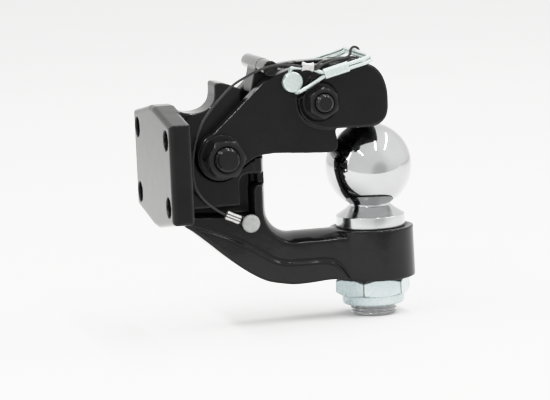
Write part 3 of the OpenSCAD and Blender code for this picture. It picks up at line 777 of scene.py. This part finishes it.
def shape_body(co):
    def plate_radius(c):
        x, y, z = c.T
        joined = (x > 7.5) & (np.abs(y) < 25)
        return np.where(x > 15.5, 0.0, np.where(joined, 0.6, 3.2))
    round_edges(co, plate_outline, (1, 2, 0), 7.5, 7.5, plate_radius)

    def rim_radius(c):
        x = c[:, 0]
        return 1.75 * step(x, 14, 22) * (1 - step(x, 119, 126))
    round_edges(co, rim_outline, (0, 2, 1), 0.0, 21.8, rim_radius)

    # the boss widens downwards, as a forging does
    dx, dy = co[:, 0] - 149.5, co[:, 1]
    r = np.hypot(dx, dy)
    down = np.clip((-51.5 - co[:, 2]) / 34.5, 0, 1)
    wide = (0.45 + 0.5 * down) * step(r, 24.5, 28) * step(dx, -9, 6) * step(co[:, 2], -89, -86.2) * (1 - step(co[:, 2], -51.4, -50))
    co[:, 0] += dx / np.maximum(r, 1) * wide
    co[:, 1] += dy / np.maximum(r, 1) * wide

    # the end of the groove at the throat is as deep as the rest
    x, y, z = co.T
    floor = (x > 63.6) & (x < 68.6) & (z > -15.6) & (z < -7.9) & (np.abs(y) > 9.8) & (np.abs(y) < 11.8)
    co[floor, 1] -= np.sign(co[floor, 1]) * 5.4


def shape_lever(co):
    """The barrel round the handle rod is drawn in to the rod."""
    dx, dz = co[:, 0] - 76.2, co[:, 2] - 63.4
    r = np.hypot(dx, dz)
    barrel = (r > 5.2) & (r < 6.3) & (dz > -1.5) & (np.abs(co[:, 1]) < 10.9)
    k = np.where(barrel, (5.28 + (r - 5.28) * 0.15) / np.maximum(r, 1e-6), 1.0)
    co[:, 0], co[:, 2] = 76.2 + dx * k, 63.4 + dz * k


def crisp_jaw(co):
    r = np.hypot(co[:, 0] - LATCH[0], co[:, 2] - LATCH[1])
    spot = (r > 11) & (r < 16) & (np.abs(co[:, 1]) > 25.5)
    arc = (co[:, 0] < 124) & (np.abs(co[:, 1]) > 21.2)
    return np.where(spot, 0.8, np.where(arc, 0.6, 0.0))


def crisp_body(co):
    x, y, z = co.T
    hole = np.hypot(np.abs(y) - 42.86, np.abs(z) - 22.22)
    hole = np.minimum(hole, np.hypot(np.abs(y) - 22.22, np.abs(z) - 42.86))
    return np.where((x < 3) & (hole < 9.5), 0.75, 0.0)


def soft_body(co):
    """The floor of the groove between the hub's block and the arm."""
    x, y, z = co.T
    inside = (x > 17) & (x < 63) & (z > -36.5) & (z < -6) & (np.abs(y) > 4) & (np.abs(y) < 12.5)
    return np.where(inside, 1.0, 0.0)


forge("body", "hook_body_forging", 0.75, 4, 0.45, "hook_body", shape=shape_body, crisp=crisp_body, soft=soft_body, flat=lambda p: p.x < 1.0)
forge("jaw", "jaw_forging", 0.62, 4, 0.45, "jaw", shape=shape_jaw, crisp=crisp_jaw)
lever = forge("latch_lever", "latch_lever_forging", 0.5, 4, 0.6, "latch", shape=shape_lever)
lever.data.materials.append(LIT_ROD_PAINT)
# the barrel round the rod takes the lit copy of the paint
for f in lever.data.polygons:
    x, z = f.center.x / MM - 76.2, f.center.z / MM - 63.4
    f.material_index = 1 if math.hypot(x, z) < 6.2 and z > -2.5 else 0

# ------------------------------------------------------------------ tow ball
BX, BZ, BR = 149.5, -10.2, 29.37


def ball_parts():
    top = BZ + BR - 1
    prof = [(0.05, top), (5.6, top)]
    a0 = math.acos((BR - 1) / BR)
    start = a0 + 0.03
    a1 = PI - math.asin(14.3 / BR)
    prof += [(BR * math.sin(start + (a1 - start) * i / 110), BZ + BR * math.cos(start + (a1 - start) * i / 110)) for i in range(111)]
    zn = BZ - math.sqrt(BR * BR - 14.3 ** 2)
    flare = [(14.3 + 9.15 * (i / 24) ** 1.25, zn - 0.8 + (-43.5 - zn + 0.8) * i / 24) for i in range(24)]
    prof += [(14.3, zn - 0.4)] + flare
    prof += fillet([flare[-1], (23.45, -43.5, 0.5), (23.45, -51.2, 0.5), (22.85, -51.8, 0.1), (15.87, -51.8)], 0.4, 5)[1:]
    prof += [(15.87, -51.8 - 2 * i) for i in range(1, 18)]
    body = lathe("Z", (BX, 0), prof, 192, caps=(True, True))
    thread = threaded("Z", (BX, 0), 15.87, 2.117, -95.0, -111.68, chamfer=1.7, segs=144, step=0.14)
    return [body, thread]


make("tow_ball_chrome", ball_parts(), CHROME, sharp=46, body="hook_body", node="tow_ball", slot="chrome")


def ball_nut_parts():
    hexa = hex_block("Z", (BX, 0), 46, -98, -86, 0, low=True, high=True, bore=15.95, drop=0.5, segs=216)
    collar = lathe("Z", (BX, 0), fillet([(19.3, -98.6), (19.3, -103.4), (16.2, -103.4), (16.2, -104.2, 0.3), (20.4, -104.2, 0.7), (21.3, -103.3, 0.8), (21.3, -97.4)], 0.3, 5), 144, loop=True)
    return [hexa, collar]


make("ball_lock_nut", ball_nut_parts(), NUT_ZINC, sharp=32, body="hook_body", node="ball_nut", slot="zinc")


# ------------------------------------------------------------------ bolts, nuts, washers along Y
def washer(c, ri, ro, y0, y1, e=0.35):
    return lathe("Y", c, fillet([(ri, y0), (ro, y0), (ro, y1), (ri, y1)], e, 4, closed=True), 96, loop=True)


PIV, LAT = (41.7, 6.0), (109.5, 39.0)


def bolt_set(key, c, r, pitch, af, y_in, y_nut, y_end, head_y, head_h, body, turn, thick=2.5, od=15.0):
    shank = lathe("Y", c, [(r, head_y + 0.5), (r, 0), (r, y_in + 1.0)], 72)
    thread = threaded("Y", c, r - 0.02, pitch, y_in + 0.5, y_end, chamfer=1.5, segs=96, step=0.14)
    head = hex_block("Y", c, af, head_y, head_y + head_h, turn, low=False, high=True)
    crown = lathe("Y", c, [(af / 2 * 0.86, head_y + head_h - 0.05), (af / 2 * 0.80, head_y + head_h + 0.0), (0.05, head_y + head_h + 0.0)], 72)
    make(key + "_bolt_threaded", [shank, thread, head, crown], BLACK, sharp=34, body=body, node=key + "_bolt", slot="black_paint")
    nut = hex_block("Y", c, af, y_nut, y_in, turn, low=True, high=True, bore=r + 0.03)
    make(key + "_hex_nut", [nut], BLACK, sharp=32, body=body, node=key + "_nut", slot="black_paint")
    lo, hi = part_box(key + "_washers")
    y = hi.y / MM
    make(key + "_washer_pair", [washer(c, r + 0.2, od, y - thick, y), washer(c, r + 0.2, od, -y, -y + thick)], BLACK, sharp=40, body=body, node=key + "_washers", slot="black_paint")


bolt_set("jaw_pivot", PIV, 8, 2.0, 24, -25.2, -39.2, -43.4, 25.2, 10, "hook_body", 0.0, od=15.0)
bolt_set("latch", LAT, 6, 1.75, 19, -29.4, -40.0, -43.1, 29.4, 7.5, "jaw", PI / 6, od=12.0)

# ------------------------------------------------------------------ handle rod
handle = make("latch_handle_bar", [lathe("Y", (76.2, 63.4), fillet([(0.05, -30.2), (5.15, -30.2, 1.0), (5.15, -10.0), (5.15, 0), (5.15, 10.0), (5.15, 30.2, 1.0), (0.05, 30.2)], 0.3, 6), 72)],
     LIT_ROD_PAINT, sharp=40, body="latch", node="latch_handle_rod", slot="black_paint")
handle.data.materials.append(PAINT)
# the rod's round side takes the lit copy of the paint, its end faces the plain paint
for f in handle.data.polygons:
    f.material_index = 1 if abs(f.normal.y) > 0.6 else 0

# ------------------------------------------------------------------ safety pin, bail, clip
PIN = (92.0, 52.8)
make("safety_pin_turned", [lathe("Y", PIN, fillet([(0.05, 34), (2.5, 34, 0.6), (4, 32.5, 0.4), (4, 31.5, 0.2), (3.3, 31, 0.3), (3.3, 28.4, 0.3), (4, 27.9, 0.2), (4, -22.8), (6.3, -22.8, 0.5), (6.9, -23.5, 0.5), (6.9, -27.0, 0.6), (6.0, -28, 0.8), (0.05, -28)], 0.2, 5), 96)],
     ZINC, sharp=40, body="safety_pin", node="safety_pin", slot="zinc")
BY, CLIP, CLIP_A = 32.0, (120.6, 59.4), rad(14)


def clip_pt(t, d, s):
    return Vector((CLIP[0] + t * math.cos(CLIP_A) - d * math.sin(CLIP_A), s * BY, CLIP[1] + t * math.sin(CLIP_A) + d * math.cos(CLIP_A)))


BAIL = ([Vector(p) for p in ((90.6, -25.6, 58.4), (90.6, -25.8, 60.5), (91.4, -27.6, 62.4), (94, -29.8, 62.9), (99, -31.6, 62.3), (105, -BY, 60.9))]
        + [clip_pt(t, 1.45, -1) for t in (-9, 0, 9, 16, 20.5)] + [Vector(p) for p in ((143.4, -31.2, 67.2), (144.3, -28.4, 67.6))]
        + [Vector(p) for p in ((144.4, 0, 67.8), (144.3, 28.4, 67.6), (143.4, 31.2, 67.2))] + [clip_pt(t, 1.45, 1) for t in (20.5, 9, 0, -9)]
        + [Vector(p) for p in ((104, 30.8, 58.9), (96.5, 29.7, 57.9))]
        + [Vector(p) for p in ((92, 29.7, 58.3), (88.2, 29.7, 56.7), (86.6, 29.7, 53), (88, 29.7, 49.2), (91.8, 29.7, 47.4))]
        + [Vector(p) for p in ((96.5, 29.7, 48.3), (104, 30.8, 52.4))] + [clip_pt(t, -1.45, 1) for t in (-9, 0, 9, 20.5)]
        + [Vector(p) for p in ((144.4, 31.2, 64.3), (145.2, 28.4, 64.8), (145.3, 0, 65.05))]
        + [Vector(p) for p in ((145.2, -28.4, 64.8), (144.4, -31.2, 64.3))] + [clip_pt(t, -1.45, -1) for t in (20.5, 16, 9, 0, -9)]
        + [Vector(p) for p in ((107, -BY, 52.9), (101, -31.5, 49.5), (97.2, -30, 47.3), (95.2, -27.6, 46.1), (94.1, -25.9, 45.9), (93.6, -25.6, 47.2))])
make("safety_pin_wire", [sweep(smooth(BAIL, 9), 1.3, 20)], ZINC, sharp=60, body="safety_pin", node="safety_pin_bail", slot="zinc")


def clip_parts():
    """Flattened sleeve with rolled ends and a shallow waist."""
    rings, segs = [], 72

    def section(x, wall):
        flare = 0.16 * max(0.0, (abs(x) - 7.6) / 1.0) ** 2
        ring = []
        for k in range(segs):
            t = 2 * PI * k / segs
            c, s = math.cos(t), math.sin(t)
            # two round ends joined by flats
            z, y = (1.45 * math.copysign(1, c) if abs(c) > 1e-6 else 0) + (wall + flare) * c, (wall + flare) * s
            y *= 1 - 0.10 * math.exp(-((z / 1.0) ** 2)) * math.exp(-((x / 6.5) ** 4))
            q = clip_pt(x, z, -1)
            ring.append(Vector((q.x, q.y + y, q.z)))
        return ring

    xs = [-8.6 + 17.2 * i / 40 for i in range(41)]
    rings = [section(x, 2.1) for x in xs] + [section(8.6, 1.85)] + [section(x, 1.6) for x in reversed(xs)] + [section(-8.6, 1.85)]
    return [skin(rings, loop=True)]


make("bail_clip_sleeve", clip_parts(), ZINC, sharp=45, body="safety_pin", node="bail_clip", slot="zinc")

# ------------------------------------------------------------------ carried-over CAD node
insert = NODES["ball_nut_insert"]
insert.data.materials.clear()
insert.data.materials.append(NYLON)


# ------------------------------------------------------------------ stage and light
def stage():
    """A pale floor that runs on behind the object."""
    z0 = -111.85 * MM
    verts, faces = [], []
    xs, ys = (-4.5, -1.2, 0.0, 1.2, 4.5), (-0.36, 0.0, 0.6, 2.0, 5.0)
    for y in ys:
        for x in xs:
            verts.append((x, y, z0))
    n = len(xs)
    for i in range(len(ys) - 1):
        for k in range(n - 1):
            faces.append((i * n + k, i * n + k + 1, (i + 1) * n + k + 1, (i + 1) * n + k))
    me = bpy.data.meshes.new("backdrop")
    me.from_pydata(verts, [], faces)
    me.shade_smooth()
    ob = bpy.data.objects.new("backdrop", me)
    scene.collection.objects.link(ob)
    m = Mat("backdrop_paper")
    m.to(m.ramp(m.noise(9, 3, 0.5), (0.3, (0.742, 0.740, 0.735)), (0.7, (0.762, 0.760, 0.755))), "Base Color")
    m.set(Roughness=0.85)
    m.p.inputs["Specular IOR Level"].default_value = 0.15
    me.materials.append(m.m)


stage()


def area(name, loc, at, size, power, long=(0, 1, 0)):
    """A rectangle of light at loc that faces at; its second side runs along long."""
    data = bpy.data.lights.new(name, "AREA")
    data.shape, data.size, data.size_y, data.energy = "RECTANGLE", size[0], size[1], power
    ob = bpy.data.objects.new(name, data)
    scene.collection.objects.link(ob)
    z = (Vector(loc) - Vector(at)).normalized()
    y = Vector(long)
    y = (y - z * y.dot(z)).normalized()
    x = y.cross(z)
    ob.matrix_world = Matrix(((x.x, y.x, z.x, loc[0]), (x.y, y.y, z.y, loc[1]), (x.z, y.z, z.z, loc[2]), (0, 0, 0, 1)))
    return ob


area("left_softbox", (-1.9, -0.1, 0.8), (0.09, 0, 0), (1.2, 1.2), 16.5, (0, 0, 1))
area("strip_right", (0.47, -0.3, 1.5), (0.10, -0.3, 0), (0.07, 2.4), 21)
area("strip_left", (-1.0, -0.7, 1.45), (0.08, -0.7, 0), (0.07, 2.4), 26)
area("strip_far_right", (1.36, -0.3, 1.5), (0.08, -0.3, 0), (0.07, 2.0), 13)


def world():
    """Even studio light with a dim spot in front of the object, low on the right, and more light high on the right."""
    w = bpy.data.worlds.new("studio")
    scene.world = w
    w.use_nodes = True
    t = w.node_tree
    t.nodes.clear()
    out = t.nodes.new("ShaderNodeOutputWorld")
    bg = t.nodes.new("ShaderNodeBackground")
    co = t.nodes.new("ShaderNodeTexCoord")
    sep = t.nodes.new("ShaderNodeSeparateXYZ")
    t.links.new(co.outputs["Generated"], sep.inputs[0])
    ramp = t.nodes.new("ShaderNodeMapRange")
    ramp.interpolation_type = "SMOOTHSTEP"
    for i, v in zip((1, 2, 3, 4), (-0.9, 0.0, 1.30, 1.22)):
        ramp.inputs[i].default_value = v
    t.links.new(sep.outputs["Y"], ramp.inputs[0])
    bg.inputs["Color"].default_value = (1.0, 0.997, 0.99, 1)
    dot = t.nodes.new("ShaderNodeVectorMath")
    dot.operation = "DOT_PRODUCT"
    dot.inputs[1].default_value = (0.246, -0.958, -0.145)
    t.links.new(co.outputs["Generated"], dot.inputs[0])
    spot = t.nodes.new("ShaderNodeMapRange")
    spot.interpolation_type = "SMOOTHSTEP"
    for i, v in zip((1, 2, 3, 4), (math.cos(rad(28)), math.cos(rad(3)), 1.0, 0.70)):
        spot.inputs[i].default_value = v
    t.links.new(dot.outputs["Value"], spot.inputs[0])
    high = t.nodes.new("ShaderNodeVectorMath")
    high.operation = "DOT_PRODUCT"
    high.inputs[1].default_value = (0.82, -0.14, 0.555)
    t.links.new(co.outputs["Generated"], high.inputs[0])
    glow = t.nodes.new("ShaderNodeMapRange")
    glow.interpolation_type = "SMOOTHSTEP"
    for i, v in zip((1, 2, 3, 4), (math.cos(rad(55)), math.cos(rad(12)), 1.0, 1.28)):
        glow.inputs[i].default_value = v
    t.links.new(high.outputs["Value"], glow.inputs[0])
    both = t.nodes.new("ShaderNodeMath")
    both.operation = "MULTIPLY"
    t.links.new(spot.outputs[0], both.inputs[0])
    t.links.new(glow.outputs[0], both.inputs[1])
    mul = t.nodes.new("ShaderNodeMath")
    mul.operation = "MULTIPLY"
    t.links.new(ramp.outputs[0], mul.inputs[0])
    t.links.new(both.outputs[0], mul.inputs[1])
    t.links.new(mul.outputs[0], bg.inputs["Strength"])
    t.links.new(bg.outputs[0], out.inputs[0])


world()
